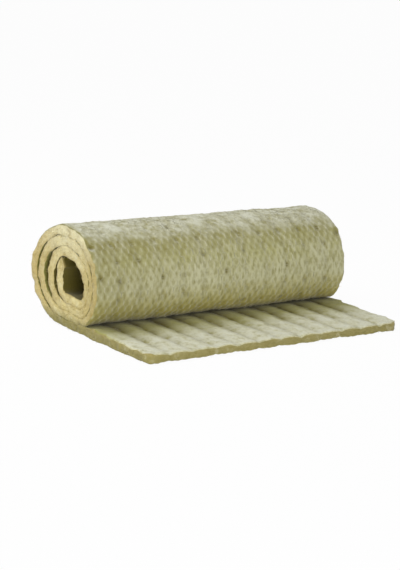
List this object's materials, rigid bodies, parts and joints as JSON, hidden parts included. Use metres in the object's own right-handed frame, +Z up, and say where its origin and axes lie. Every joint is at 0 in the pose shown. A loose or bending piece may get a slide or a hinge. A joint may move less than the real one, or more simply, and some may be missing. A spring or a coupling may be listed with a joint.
{
  "type": "insulation roll",
  "caption": "Partly unrolled stitched mineral wool insulation mat faced with wire netting, wound round an open bore with its free tail flat on the floor.",
  "frame": {"origin": "on the floor at the middle of the whole outline, roll and tail together", "axes": "+X along the roll's axis, -Y towards the free end of the tail, +Z up"},
  "size_m": [1, 0.645, 0.3175],
  "materials": {
    "mineral_wool": "matt fibrous wool, pale straw to olive",
    "galvanised_wire": "dull galvanised"
  },
  "bodies": {
    "root": {"wool_mat": "mineral_wool"}
  },
  "joints": []
}
